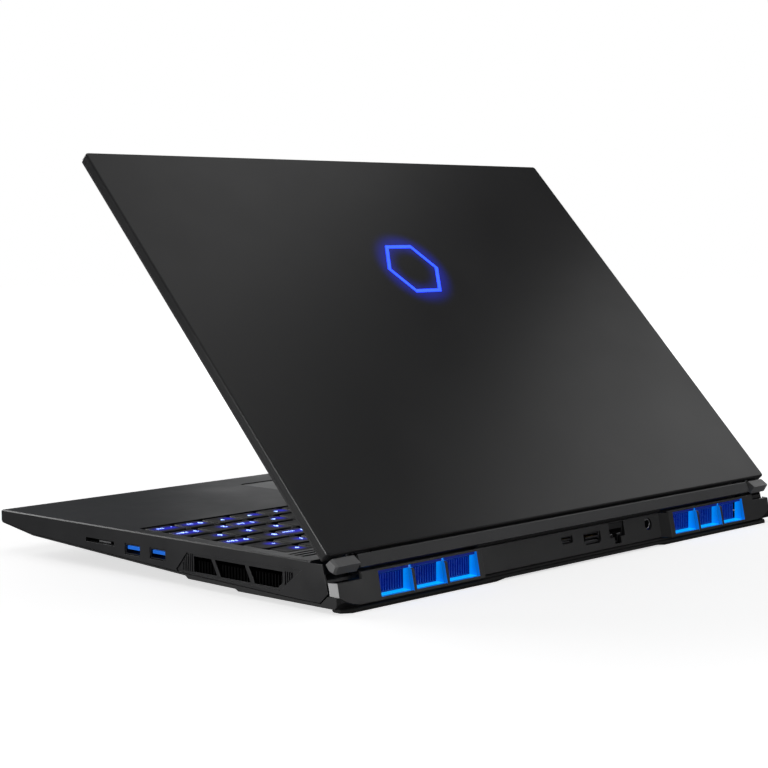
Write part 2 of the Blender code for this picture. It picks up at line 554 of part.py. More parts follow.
def build_sockets(mats):
    for i, y in enumerate(USB_RIGHT_Y):
        usb_a(f"usb_a_port_right_{i + 1}", 1, y, mats)
    usb_a("usb_a_port_left", -1, USB_LEFT_Y, mats)
    y0, y1, z0, z1 = SD_SLOT
    reader = box("card_reader", 150.0, 177.7, y0 - 1.0, y1 + 1.0, z0 - 1.0, z1 + 0.8, mats["steel"])
    cut(reader, ("X", rect(y0 + 0.2, y1 - 0.2, z0 + 0.1, z1 - 0.1), 154.0, 182.0))
    x, z, w, h = USB_C
    hollow = (x - w / 2 + 0.5, x + w / 2 - 0.5, z - h / 2 + 0.5, z + h / 2 - 0.4)
    rear_socket("usb_c_port", socket_outline(*USB_C), hollow, (0, x + w / 2 - 1.4, z - 0.4, z + 0.4), 256.6, mats)
    x, z, w, h = HDMI
    hollow = (x - w / 2 + 0.6, x + w / 2 - 0.6, z - h / 2 + 1.2, z + h / 2 - 0.5)
    rear_socket("hdmi_port", socket_outline(*HDMI), hollow, (0, x + w / 2 - 2.0, z - 0.1, z + 0.8), 256.9, mats)
    x, z, w, h = ETHERNET
    body = prism("ethernet_port", "Y", [(x - w / 2, -18.4), (x + w / 2, -18.4), (x + w / 2, -9.8), (x - w / 2, -9.8)],
                 238.0, 253.4, mats["black_plastic"])
    join(body, ("Y", ethernet_outline(), 253.0, 256.4))
    cut(body, ("Y", [(x - w / 2 + 0.9, z - h / 2 + 0.6), (x - 1.9, z - h / 2 + 0.6), (x - 1.9, z - h / 2 - 2.9),
                     (x + 1.9, z - h / 2 - 2.9), (x + 1.9, z - h / 2 + 0.6), (x + w / 2 - 0.9, z - h / 2 + 0.6),
                     (x + w / 2 - 0.9, -10.6), (x - w / 2 + 0.9, -10.6)], 242.0, 260.0))
    x, z, r = DC_JACK
    jack = prism("dc_inlet", "Y", rect(x - 4.0, x + 4.0, z - 4.2, z + 1.9), 242.0, 253.6, mats["black_plastic"])
    join(jack, ("Y", circle(x, z, r, 16), 253.0, 256.6))
    cut(jack, ("Y", circle(x, z - 0.2, 1.6, 16), 247.0, 260.0))
    cut(jack, ("Y", circle(x, z, r - 0.7, 16), 253.4, 260.0))
    join(jack, ("Y", circle(x, z - 0.2, 0.6, 8), 246.0, 255.0))
    for y, name in zip(JACK_Y, ("microphone_jack", "headphone_jack")):
        jack = prism(name, "X", circle(y, JACK_Z, 2.8, 16), -179.2, -166.0, mats["black_plastic"])
        cut(jack, ("X", circle(y, JACK_Z, 1.8, 12), -181.0, -169.0))


# ---- inside ----
FAN_X, FAN_Y = 108.0, 190.0


def build_fans(mats):
    z0, z1 = -16.7, -6.8
    for side, name in ((1, "right"), (-1, "left")):
        x = side * FAN_X
        lo, hi = sorted((side * 70.0, side * 150.0))
        housing = box(f"fan_housing_{name}", lo, hi, 155.0, 229.5, z0, z1, mats["black_plastic"])
        lo, hi = sorted((side * 72.0, side * 170.0))
        cut(housing, ("Z", rounded(lo, hi, 157.0, 245.0, 12.0, 4), z0 + 1.0, z1 - 1.0))
        cut(housing, ("Z", circle(x, FAN_Y, 20.0, 24), z0 - 2.0, z0 + 2.0))
        blades = []
        count = 17
        for i in range(count):
            start = 2 * pi * i / count
            for radius, turn in ((9.5, 0.0), (28.0, 0.30), (28.0, 0.34), (9.5, 0.12)):
                blades.append((radius * cos(start + turn), radius * sin(start + turn)))
        prism(f"fan_rotor_{name}", "Z", [(x + a, FAN_Y + b) for a, b in blades], -15.2, -8.3,
              mats["black_plastic"])


def build_inside(mats):
    board = [(-150.0, 106.0), (148.0, 106.0), (148.0, 150.0), (66.0, 150.0), (66.0, 236.0), (-66.0, 236.0),
             (-66.0, 150.0), (-150.0, 150.0)]
    prism("motherboard", "Z", board, -8.2, -7.0, mats["board_green"])
    cold = box("cold_plate", -52.0, 52.0, 172.0, 212.0, -12.4, -8.5, mats["copper"])
    join(cold, ("Z", rect(-40.0, 40.0, 178.0, 206.0), -12.8, -12.0))
    for side, name in ((1, "right"), (-1, "left")):
        route = [(4.0, 214.0), (54.0, 214.0), (68.0, 230.4), (150.0, 230.4), (150.0, 237.4), (64.0, 237.4),
                 (50.0, 222.0), (4.0, 222.0)]
        prism(f"heat_pipe_{name}", "Z", route if side > 0 else mirrored(route), -12.4, -9.4, mats["copper"])
    box("memory_module", -34.0, 36.0, 112.0, 142.0, -12.6, -8.5, mats["board_green"])
    box("solid_state_drive", -62.0, -40.0, 110.0, 165.0, -11.6, -8.5, mats["board_green"])
    box("wireless_card", 40.0, 62.0, 110.0, 140.0, -10.6, -8.5, mats["board_green"])
    box("battery_pack", -118.0, 118.0, 34.0, 103.0, -12.6, -4.2, mats["battery_black"])
    for side, name in ((1, "right"), (-1, "left")):
        lo, hi = sorted((side * 124.0, side * 146.0))
        box(f"speaker_{name}", lo, hi, 36.0, 100.0, -12.0, -4.2, mats["black_plastic"])


def foot_outline(back, lift):
    """Section of the rear foot, its rear edge set back and its sole lifted."""
    rear, sole = REAR_Y - back, -DECK_H + lift
    return [(256.4, -21.2), (rear - 0.8, -21.2), (rear, -21.7), (rear, sole + 0.3), (rear - 0.4, sole), (257.2, sole),
            (256.0, sole + 0.6)]


def build_feet(mats):
    bm = bmesh.new()
    ends = [(x, back, 0.0) for x, back in ((170.6, 0.0), (175.4, 3.4))]
    half = [(64.0, 0.0, 0.8), (70.6, 0.0, 0.0), *ends]
    add_loft(bm, [[(x, y, z) for y, z in foot_outline(back, lift)]
                  for x, back, lift in [(-x, back, lift) for x, back, lift in reversed(half)] + half])
    add_object("rear_foot", bm, mats["rubber"])
    for side, name in ((1, "right"), (-1, "left")):
        x0, x1 = sorted((side * 92.0, side * 132.0))
        bm = bmesh.new()
        top = level(BELLY, 52.0) - GAP
        add_loft(bm, [[(x, y, z) for x, y in rounded(x0 + inset, x1 - inset, 38.0 + inset, 52.0 - inset, 4.0)]
                      for z, inset in ((top, 0.0), (-DECK_H + 0.8, 0.0), (-DECK_H, 0.8))])
        add_object(f"front_foot_{name}", bm, mats["rubber"])


def main():
    for old in list(bpy.data.objects):
        bpy.data.objects.remove(old)
    mats = make_materials()
    lid = bpy.data.objects.new("lid_hinge_axis", None)
    bpy.context.scene.collection.objects.link(lid)
    lid.location = place(0.0, PIVOT_Y, PIVOT_Z)
    lid.rotation_euler = (radians(-REST_OPEN), 0.0, 0.0)
    build_lid(mats, lid)
    build_lid_hinge(mats, lid)
    build_brackets(mats)
    build_top_cover(mats)
    build_bottom_cover(mats)
    build_rear_frame(mats)
    build_exhausts(mats)
    build_keyboard(mats)
    build_sockets(mats)
    build_fans(mats)
    build_inside(mats)
    build_feet(mats)


CLOSED_INVERSE = Matrix.Translation(place(0.0, PIVOT_Y, PIVOT_Z)).inverted()
main()
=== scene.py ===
from math import cos, pi, radians, sin

import bmesh
import bpy
from mathutils import Matrix, Vector


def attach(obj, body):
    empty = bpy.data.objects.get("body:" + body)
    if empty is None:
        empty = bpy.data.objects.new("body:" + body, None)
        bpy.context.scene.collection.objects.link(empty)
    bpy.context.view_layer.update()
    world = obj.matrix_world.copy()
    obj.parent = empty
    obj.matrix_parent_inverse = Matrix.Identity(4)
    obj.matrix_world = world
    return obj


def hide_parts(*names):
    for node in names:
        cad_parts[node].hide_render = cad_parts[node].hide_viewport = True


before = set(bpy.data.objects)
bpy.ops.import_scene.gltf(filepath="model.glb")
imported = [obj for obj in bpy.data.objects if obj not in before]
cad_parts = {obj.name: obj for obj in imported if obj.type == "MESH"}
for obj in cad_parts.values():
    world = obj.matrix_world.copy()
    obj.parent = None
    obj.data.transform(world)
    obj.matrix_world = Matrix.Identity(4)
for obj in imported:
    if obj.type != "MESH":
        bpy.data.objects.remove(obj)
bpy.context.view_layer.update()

# A laptop computer, seen from behind on its right. The CAD nodes keep their shapes and get materials here, the rows
# of keys are replaced by dished keycaps with lit legends, and small trim is added around the sockets and vents.

# The drawing frame of the part: millimetres, Y from the front edge of the base, Z from the palm rest.
MM = 0.001
MID_Y = 132.5
DECK_H = 23.0
HALF_W = 179.5
PIVOT = (254.3, 2.1)
REST_OPEN = radians(47.16)


def P(x, y, z):
    return Vector((x * MM, (y - MID_Y) * MM, (z + DECK_H) * MM))


def on_lid(x, y, z):
    """A point of the closed lid, carried to where the lid stands at rest."""
    c, s = cos(REST_OPEN), sin(REST_OPEN)
    dy, dz = y - PIVOT[0], z - PIVOT[1]
    return P(x, PIVOT[0] + dy * c + dz * s, PIVOT[1] - dy * s + dz * c)


# ---- camera ----
CAMERA_AT = (740.55, 840.24, 145.83)
CAMERA_TURN = (44.199, 4.572, -0.657)  # yaw, pitch and tilt, in degrees
LENS_MM = 84.91


def set_camera():
    yaw, pitch, tilt = (radians(angle) for angle in CAMERA_TURN)
    look = Vector((-cos(yaw) * cos(pitch), -sin(yaw) * cos(pitch), -sin(pitch)))
    side = look.cross(Vector((0, 0, 1))).normalized()
    head = side.cross(look)
    right = cos(tilt) * side + sin(tilt) * head
    up = -sin(tilt) * side + cos(tilt) * head
    data = bpy.data.cameras.new("camera")
    data.lens = LENS_MM
    data.sensor_width = 36.0
    data.clip_start = 0.01
    data.clip_end = 100.0
    camera = bpy.data.objects.new("camera", data)
    bpy.context.scene.collection.objects.link(camera)
    matrix = Matrix((right, up, -look)).transposed().to_4x4()
    matrix.translation = P(*CAMERA_AT)
    camera.matrix_world = matrix
    bpy.context.scene.camera = camera


# ---- materials ----
class Nodes:
    """Short spellings for building one material's node tree."""

    def __init__(self, name):
        self.material = bpy.data.materials.new(name)
        self.material.use_nodes = True
        self.tree = self.material.node_tree
        self.shader = self.tree.nodes["Principled BSDF"]
        coordinates = self.tree.nodes.new("ShaderNodeTexCoord")
        self.at = coordinates.outputs["Object"]

    def make(self, kind, **settings):
        node = self.tree.nodes.new(kind)
        for key, value in settings.items():
            setattr(node, key, value)
        return node

    def link(self, source, target):
        self.tree.links.new(source, target)

    def noise(self, scale, detail=3.0, roughness=0.55, vector=None):
        node = self.make("ShaderNodeTexNoise")
        node.inputs["Scale"].default_value = scale
        node.inputs["Detail"].default_value = detail
        node.inputs["Roughness"].default_value = roughness
        self.link(vector or self.at, node.inputs["Vector"])
        return node.outputs["Fac"]

    def remap(self, value, low, high, to_low, to_high, smooth=False):
        node = self.make("ShaderNodeMapRange", interpolation_type="SMOOTHSTEP" if smooth else "LINEAR")
        self.link(value, node.inputs["Value"])
        for socket, number in zip(("From Min", "From Max", "To Min", "To Max"), (low, high, to_low, to_high)):
            node.inputs[socket].default_value = number
        return node.outputs["Result"]

    def math(self, operation, a, b=None):
        node = self.make("ShaderNodeMath", operation=operation)
        for socket, value in zip(node.inputs, (a, b)):
            if value is None:
                continue
            if isinstance(value, (int, float)):
                socket.default_value = value
            else:
                self.link(value, socket)
        return node.outputs["Value"]

    def mix(self, fac, a, b):
        node = self.make("ShaderNodeMix", data_type="RGBA")
        self.link(fac, node.inputs["Factor"])
        for socket, value in ((node.inputs[6], a), (node.inputs[7], b)):
            if isinstance(value, tuple):
                socket.default_value = (*value, 1.0)
            else:
                self.link(value, socket)
        return node.outputs[2]

    def edges(self, radius):
        """1 along the edges of the mesh, falling to 0 on flat ground."""
        bevel = self.make("ShaderNodeBevel", samples=4)
        bevel.inputs["Radius"].default_value = radius
        ground = self.make("ShaderNodeNewGeometry")
        dot = self.make("ShaderNodeVectorMath", operation="DOT_PRODUCT")
        self.link(bevel.outputs["Normal"], dot.inputs[0])
        self.link(ground.outputs["Normal"], dot.inputs[1])
        return self.remap(dot.outputs["Value"], 0.999, 0.90, 0.0, 1.0)

    def bump(self, height, depth, soft=0.0):
        """Fine relief. With soft, the edges of the mesh are also shaded as if rounded by that radius."""
        node = self.make("ShaderNodeBump")
        if soft:
            bevel = self.make("ShaderNodeBevel", samples=4)
            bevel.inputs["Radius"].default_value = soft
            self.link(bevel.outputs["Normal"], node.inputs["Normal"])
        node.inputs["Distance"].default_value = depth
        node.inputs["Strength"].default_value = 1.0
        self.link(height, node.inputs["Height"])
        self.link(node.outputs["Normal"], self.shader.inputs["Normal"])


def coated(name, colour, rough=0.45, grain=2600.0, depth=0.00001, wear_and_edge_highlight=0.0, wear_and_edge_highlight_colour=None,
           edge=0.0004, spread=0.06, cloud=9.0, soft=0.0003):
    """Painted or moulded surface: fine grain, cloudy colour and roughness, and lighter edges that are partly rubbed
    wear and partly a painted edge highlight.
    """
    n = Nodes(name)
    clouds = n.noise(cloud, 4.0)
    speckle = n.noise(grain * 0.35, 2.0)
    light = tuple(min(1.0, c * 1.16 + 0.0008) for c in colour)
    dark = tuple(c * 0.86 for c in colour)
    base = n.mix(n.remap(clouds, 0.3, 0.7, 0.0, 1.0), dark, light)
    base = n.mix(n.remap(speckle, 0.62, 0.8, 0.0, 0.3), base, tuple(min(1.0, c * 1.7 + 0.003) for c in colour))
    roughness = n.remap(n.noise(cloud * 2.3, 5.0, 0.65), 0.3, 0.7, rough - spread, rough + spread)
    # Lighter colour along the edges: partly rubbed wear, partly a painted highlight standing in for light caught on
    # the edges.
    if wear_and_edge_highlight:
        mask = n.math("MULTIPLY", n.edges(edge), n.remap(n.noise(160.0, 5.0, 0.7), 0.38, 0.62, 0.35, 1.0))
        mask = n.math("MULTIPLY", mask, wear_and_edge_highlight)
        base = n.mix(mask, base, wear_and_edge_highlight_colour or tuple(min(1.0, c * 3.0 + 0.02) for c in colour))
        roughness = n.math("SUBTRACT", roughness, n.math("MULTIPLY", mask, 0.12))
    n.link(base, n.shader.inputs["Base Color"])
    n.link(roughness, n.shader.inputs["Roughness"])
    n.bump(n.noise(grain, 2.0, 0.5), depth, soft=soft)
    return n


def metal(name, colour, rough=0.3, brushed="X"):
    """Bare metal, brushed along one axis."""
    n = Nodes(name)
    stretch = n.make("ShaderNodeMapping")
    n.link(n.at, stretch.inputs["Vector"])
    stretch.inputs["Scale"].default_value = [0.04 if axis == brushed else 1.0 for axis in "XYZ"]
    lines = n.noise(5200.0, 3.0, 0.6, stretch.outputs["Vector"])
    n.link(n.mix(lines, tuple(c * 0.8 for c in colour), colour), n.shader.inputs["Base Color"])
    n.link(n.remap(lines, 0.3, 0.7, rough - 0.06, rough + 0.08), n.shader.inputs["Roughness"])
    n.shader.inputs["Metallic"].default_value = 1.0
    n.bump(lines, 0.000006)
    return n


def glowing(name, colour, strength, core):
    """Light guide: an even glow over a paler core."""
    n = Nodes(name)
    flicker = n.remap(n.noise(140.0, 2.0), 0.3, 0.7, 0.0, 1.0)
    tint = n.mix(flicker, tuple(c * 0.9 for c in colour), colour)
    n.link(tint, n.shader.inputs["Emission Color"])
    n.shader.inputs["Emission Strength"].default_value = strength
    n.shader.inputs["Base Color"].default_value = (*core, 1.0)
    n.link(n.remap(flicker, 0.0, 1.0, 0.3, 0.4), n.shader.inputs["Roughness"])
    return n


EMBLEM_CENTRE = (-2.0, 84.8, 6.4)  # on the closed lid
EMBLEM_RADIUS = 0.0184  # metres, like every length inside a material
EMBLEM_PAINTED_SPILL = 0.013


def make_lid_paint():
    """Satin lid paint, with a painted blue glow around the emblem standing in for its light spilling over the lid."""
    n = coated("lid_paint", (0.0125, 0.0125, 0.0132), rough=0.33, grain=3200.0, depth=0.000006, wear_and_edge_highlight=0.5, edge=0.0005,
               spread=0.03, cloud=6.0, soft=0.0005)
    # Painted glow: emission on the paint, strongest at the emblem's ring and fading outwards.
    centre = n.make("ShaderNodeVectorMath", operation="DISTANCE")
    centre.inputs[1].default_value = on_lid(*EMBLEM_CENTRE)
    n.link(n.at, centre.inputs[0])
    ring = n.math("ABSOLUTE", n.math("SUBTRACT", centre.outputs["Value"], EMBLEM_RADIUS))
    painted_spill = n.math("POWER", n.remap(ring, 0.0, EMBLEM_PAINTED_SPILL, 1.0, 0.0, True), 2.2)
    glow = n.make("ShaderNodeVectorMath", operation="SCALE")
    glow.inputs[0].default_value = (0.002, 0.006, 0.20)
    n.link(painted_spill, glow.inputs["Scale"])
    n.link(glow.outputs["Vector"], n.shader.inputs["Emission Color"])
    n.shader.inputs["Emission Strength"].default_value = 1.0
    return n


def make_key_plastic():
    """Keycap plastic with a painted blue halo around each legend, standing in for the backlight's glow. The legend's
    place is stored on the mesh.
    """
    n = coated("key_plastic", (0.0065, 0.0065, 0.0075), rough=0.5, grain=4200.0, depth=0.000012, wear_and_edge_highlight=0.25,
               edge=0.0003, soft=0.0)
    place = n.make("ShaderNodeAttribute", attribute_name="legend")
    half = n.make("ShaderNodeAttribute", attribute_name="legend_half")
    gap = n.make("ShaderNodeVectorMath", operation="SUBTRACT")
    n.link(n.at, gap.inputs[0])
    n.link(place.outputs["Vector"], gap.inputs[1])
    parts = n.make("ShaderNodeSeparateXYZ")
    n.link(gap.outputs["Vector"], parts.inputs["Vector"])
    beyond = n.math("SUBTRACT", n.math("ABSOLUTE", parts.outputs["X"]), half.outputs["Fac"])
    offset = n.make("ShaderNodeCombineXYZ")
    n.link(n.math("MAXIMUM", beyond, 0.0), offset.inputs["X"])
    n.link(n.math("MULTIPLY", parts.outputs["Y"], 0.95), offset.inputs["Y"])
    n.link(n.math("MULTIPLY", parts.outputs["Z"], 0.5), offset.inputs["Z"])
    reach = n.make("ShaderNodeVectorMath", operation="LENGTH")
    n.link(offset.outputs["Vector"], reach.inputs[0])
    # Painted halo: emission on the keycap plastic, fading with distance from the legend.
    painted_halo = n.math("POWER", n.remap(reach.outputs["Value"], 0.0, 0.0068, 1.0, 0.0, True), 1.9)
    glow = n.make("ShaderNodeVectorMath", operation="SCALE")
    glow.inputs[0].default_value = (0.0, 0.002, 0.50)
    n.link(painted_halo, glow.inputs["Scale"])
    n.link(glow.outputs["Vector"], n.shader.inputs["Emission Color"])
    n.shader.inputs["Emission Strength"].default_value = 1.0
    return n


def make_blue_lacquer_with_painted_glow(name, colour, glow, strength, fade=None):
    """Bright blue lacquer of the vents, with a painted glow standing in for light inside them. Given fade, two places
    in Y, the painted glow dims from one to the other.
    """
    n = coated(name, colour, rough=0.3, grain=1800.0, depth=0.00001, wear_and_edge_highlight=0.5, wear_and_edge_highlight_colour=(0.25, 0.62, 1.0),
               edge=0.0003, cloud=60.0, soft=0.0)
    n.shader.inputs["Emission Strength"].default_value = strength
    if fade:
        split = n.make("ShaderNodeSeparateXYZ")
        n.link(n.at, split.inputs["Vector"])
        inner, outer = (y - MID_Y * MM for y in fade)
        along = n.remap(split.outputs["Y"], inner, outer, 0.0, 1.0, True)
        dim = tuple(c * 0.42 for c in glow)
        n.link(n.mix(along, tuple(min(1.0, c * 1.25) for c in glow), dim), n.shader.inputs["Emission Color"])
    else:
        n.shader.inputs["Emission Color"].default_value = (*glow, 1.0)
    return n


def make_screen():
    """Dark display, switched off, under a glossy coat."""
    n = coated("screen_glass", (0.004, 0.004, 0.006), rough=0.1, grain=900.0, depth=0.000001, spread=0.02, cloud=14.0)
    n.shader.inputs["Coat Weight"].default_value = 0.6
    n.shader.inputs["Coat Roughness"].default_value = 0.04
    return n


def make_materials():
    made = {
        "lid": make_lid_paint(),
        "case": coated("case_paint", (0.018, 0.018, 0.019), rough=0.36, wear_and_edge_highlight=0.6, edge=0.0005),
        # The deck is the top cover's top faces painted lighter and bluer than its walls: a painted sheen.
        "deck": coated("deck_paint_lit_copy", (0.044, 0.047, 0.052), rough=0.38, wear_and_edge_highlight=0.6, edge=0.0005, cloud=7.0),
        "frame": coated("frame_plastic", (0.030, 0.030, 0.031), rough=0.44, wear_and_edge_highlight=0.6, edge=0.0004, cloud=14.0),
        "bar": coated("hinge_bar_plastic", (0.075, 0.076, 0.078), rough=0.42, wear_and_edge_highlight=0.6, edge=0.0004, cloud=14.0),
        "cap": coated("cap_plastic", (0.19, 0.19, 0.191), rough=0.38, wear_and_edge_highlight=0.7, edge=0.0005, cloud=30.0),
        # facet: one facet of the dark rear frame painted very light, partly a painted highlight.
        "facet": coated("facet_paint_and_highlight", (0.62, 0.62, 0.62), rough=0.34, wear_and_edge_highlight=0.5, edge=0.0004, cloud=30.0),
        "bottom": coated("bottom_plastic", (0.006, 0.006, 0.0065), rough=0.6, grain=1500.0, depth=0.00003, wear_and_edge_highlight=0.3),
        "bezel": coated("bezel_plastic", (0.009, 0.009, 0.010), rough=0.5, grain=2200.0, depth=0.00002, wear_and_edge_highlight=0.4),
        "inner": coated("inner_plastic", (0.008, 0.008, 0.009), rough=0.55, wear_and_edge_highlight=0.3),
        # void: the side fins painted near black with weak reflection, a painted shade that makes the side vents read
        # dark inside.
        "void": coated("side_fins_painted_shade", (0.002, 0.002, 0.0022), rough=0.7, soft=0.0),
        "rubber": coated("foot_rubber", (0.010, 0.010, 0.010), rough=0.85, grain=1200.0, depth=0.00004, wear_and_edge_highlight=0.3),
        "key": make_key_plastic(),
        "legend": glowing("legend_light", (0.26, 0.40, 1.0), 4.2, (0.5, 0.6, 0.9)),
        "emblem": glowing("emblem_light", (0.012, 0.045, 1.0), 3.2, (0.05, 0.1, 0.8)),
        "touch": coated("touchpad_film", (0.10, 0.103, 0.108), rough=0.33, grain=4200.0, depth=0.000004, wear_and_edge_highlight=0.4,
                        spread=0.03),
        # blue, azure, fin and socket_blue: the blue is the lacquer's own colour, and the emission on it is a painted
        # glow standing in for light in the vents and sockets.
        "blue": make_blue_lacquer_with_painted_glow("blue_lacquer", (0.008, 0.28, 0.95), (0.0, 0.30, 1.0), 0.62, (0.2555, 0.2625)),
        # azure is a brighter lit copy of the blue lacquer, painted light for the liners' floors.
        "azure": make_blue_lacquer_with_painted_glow("azure_lacquer_lit_copy", (0.02, 0.38, 1.0), (0.0, 0.42, 1.0), 0.85),
        "fin": make_blue_lacquer_with_painted_glow("fin_lacquer", (0.003, 0.02, 0.26), (0.0, 0.012, 0.20), 0.30),
        "tongue": make_blue_lacquer_with_painted_glow("socket_blue", (0.01, 0.15, 0.70), (0.0, 0.13, 0.72), 0.30),
        "screen": make_screen(),
        "steel": metal("steel", (0.52, 0.52, 0.53), 0.3),
        "dark_steel": metal("dark_steel", (0.10, 0.10, 0.105), 0.36),
        "black_steel": metal("blackened_steel", (0.03, 0.03, 0.032), 0.42),
        "contact": metal("contact_gold", (0.85, 0.62, 0.25), 0.22, "Y"),
        "copper": metal("copper", (0.72, 0.36, 0.2), 0.3, "Y"),
        "board": coated("board_green", (0.008, 0.07, 0.04), rough=0.4, grain=700.0, depth=0.00003, cloud=120.0),
        "wrap": coated("battery_wrap", (0.02, 0.02, 0.022), rough=0.5),
        "print": coated("grey_print", (0.22, 0.22, 0.225), rough=0.5, cloud=80.0, soft=0.0),
    }
    made["void"].shader.inputs["Specular IOR Level"].default_value = 0.08
    return {key: nodes.material for key, nodes in made.items()}


# ---- meshes ----
def finish_object(name, bm, material, body, smooth=35.0):
    bmesh.ops.recalc_face_normals(bm, faces=bm.faces)
    mesh = bpy.data.meshes.new(name)
    bm.to_mesh(mesh)
    bm.free()
    mesh.materials.append(material)
    made = bpy.data.objects.new(name, mesh)
    bpy.context.scene.collection.objects.link(made)
    if smooth:
        for face in mesh.polygons:
            face.use_smooth = True
        mesh.set_sharp_from_angle(angle=radians(smooth))
    if body:
        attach(made, body)
    return made


def loft(bm, rings, caps=(True, True)):
    rows = [[bm.verts.new(point) for point in ring] for ring in rings]
    count = len(rows[0])
    for low, high in zip(rows, rows[1:]):
        for i in range(count):
            j = (i + 1) % count
            bm.faces.new((low[i], low[j], high[j], high[i]))
    if caps[0]:
        bm.faces.new(rows[0][::-1])
    if caps[1]:
        bm.faces.new(rows[-1])
    return rows


def rounded(x0, x1, y0, y1, radius, steps):
    """Outline of a rectangle with rounded corners."""
    corners = [(x1 - radius, y1 - radius, 0), (x0 + radius, y1 - radius, 90), (x0 + radius, y0 + radius, 180),
               (x1 - radius, y0 + radius, 270)]
    return [(x + radius * cos(radians(start + 90 * i / steps)), y + radius * sin(radians(start + 90 * i / steps)))
            for x, y, start in corners for i in range(steps + 1)]


def circle(radius, steps):
    return [(radius * cos(2 * pi * i / steps), radius * sin(2 * pi * i / steps)) for i in range(steps)]


def block(bm, low, high, chamfer):
    """Box between two points of the drawing frame, with its edges chamfered."""
    (x0, y0, z0), (x1, y1, z1) = low, high
    c = min(chamfer, 0.3 * min(x1 - x0, y1 - y0, z1 - z0))
    rings = []
    for inset, z in ((c, z0), (0.0, z0 + c), (0.0, z1 - c), (c, z1)):
        outline = rounded(x0 + inset, x1 - inset, y0 + inset, y1 - inset, c, 1)
        rings.append([P(x, y, z) for x, y in outline])
    loft(bm, rings)


# ---- CAD nodes that stay: materials, and softened edges on the plain ones ----
def dress(name, material, bevel):
    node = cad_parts[name]
    node.data.materials.clear()
    node.data.materials.append(material)
    if bevel:
        weld = node.modifiers.new("weld", "WELD")
        weld.merge_threshold = 0.000002
        soft = node.modifiers.new("soft", "BEVEL")
        soft.width = bevel * MM
        soft.segments = 2
        soft.limit_method = "ANGLE"
        soft.angle_limit = radians(28)
        soft.harden_normals = True


def paint_faces(name, looks, pick):
    """Gives each face of a CAD node one of the looks. pick gets its centre, in the drawing frame, and its normal."""
    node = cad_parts[name]
    mesh = node.data
    mesh.materials.clear()
    for look in looks:
        mesh.materials.append(look)
    for face in mesh.polygons:
        centre = node.matrix_world @ face.center
        at = (centre.x / MM, centre.y / MM + MID_Y, centre.z / MM - DECK_H)
        face.material_index = pick(at, node.matrix_world.to_3x3() @ face.normal)


def rear_frame_look(at, normal):
    """0 frame plastic, 1 blue reveal of a vent window, 2 pale end facet, its pale colour partly the facet's own light
    paint and partly a painted highlight.
    """
    x, z = abs(at[0]), at[2]
    if 81.5 < x < 151.6 and -18.75 < z < -6.4 and abs(normal.y) < 0.4:
        return 1
    if x > 177.5 and abs(normal.x) > 0.8 and normal.y > 0.15:
        return 2
    return 0


def top_cover_look(at, normal):
    """0 side walls and inside, 1 deck, painted lighter and bluer than the walls as a painted sheen."""
    return 1 if normal.z > 0.9 and at[2] > -0.7 else 0


def liner_look(at, normal):
    """0 blue wall, 1 floor in a brighter lit copy of the blue as painted light, 2 top painted black as painted shade.
    """
    if at[2] > -7.3:
        return 2
    return 1 if at[2] < -18.0 and normal.z > 0.5 else 0


def pair(*names):
    return [f"{name}_{side}" for name in names for side in ("right", "left")]


# A look, the softening of its edges in millimetres, and the CAD nodes that have them.
CAD_LOOKS = (
    ("lid", 0.0, ["lid_back_cover"]),
    ("bezel", 0.0, ["display_bezel"]),
    ("screen", 0.0, ["lcd_panel"]),
    ("emblem", 0.0, ["lid_emblem"]),
    ("bar", 0.35, ["hinge_bar"]),
    ("cap", 0.3, pair("hinge_cap")),
    ("black_steel", 0.0, pair("hinge_arm", "hinge_pin", "hinge_bracket")),
    ("bottom", 0.0, ["bottom_cover"]),
    ("fin", 0.0, pair("rear_fins")),
    ("void", 0.0, pair("side_fins")),
    ("touch", 0.15, ["touchpad"]),
    ("case", 0.2, ["power_button"]),
    ("board", 0.0, ["motherboard", "memory_module", "solid_state_drive", "wireless_card"]),
    ("copper", 0.0, ["cold_plate"]),
    ("copper", 0.3, pair("heat_pipe")),
    ("wrap", 0.3, ["battery_pack"]),
    ("dark_steel", 0.0, ["card_reader", "usb_a_port_right_1", "usb_a_port_right_2", "usb_a_port_left", "usb_c_port",
                         "hdmi_port"]),
    ("inner", 0.0, ["webcam_module", "keyboard_plate", "ethernet_port", "dc_inlet", "microphone_jack",
                    "headphone_jack", *pair("fan_housing", "fan_rotor", "speaker")]),
    ("rubber", 0.3, ["rear_foot", *pair("front_foot")]),
)

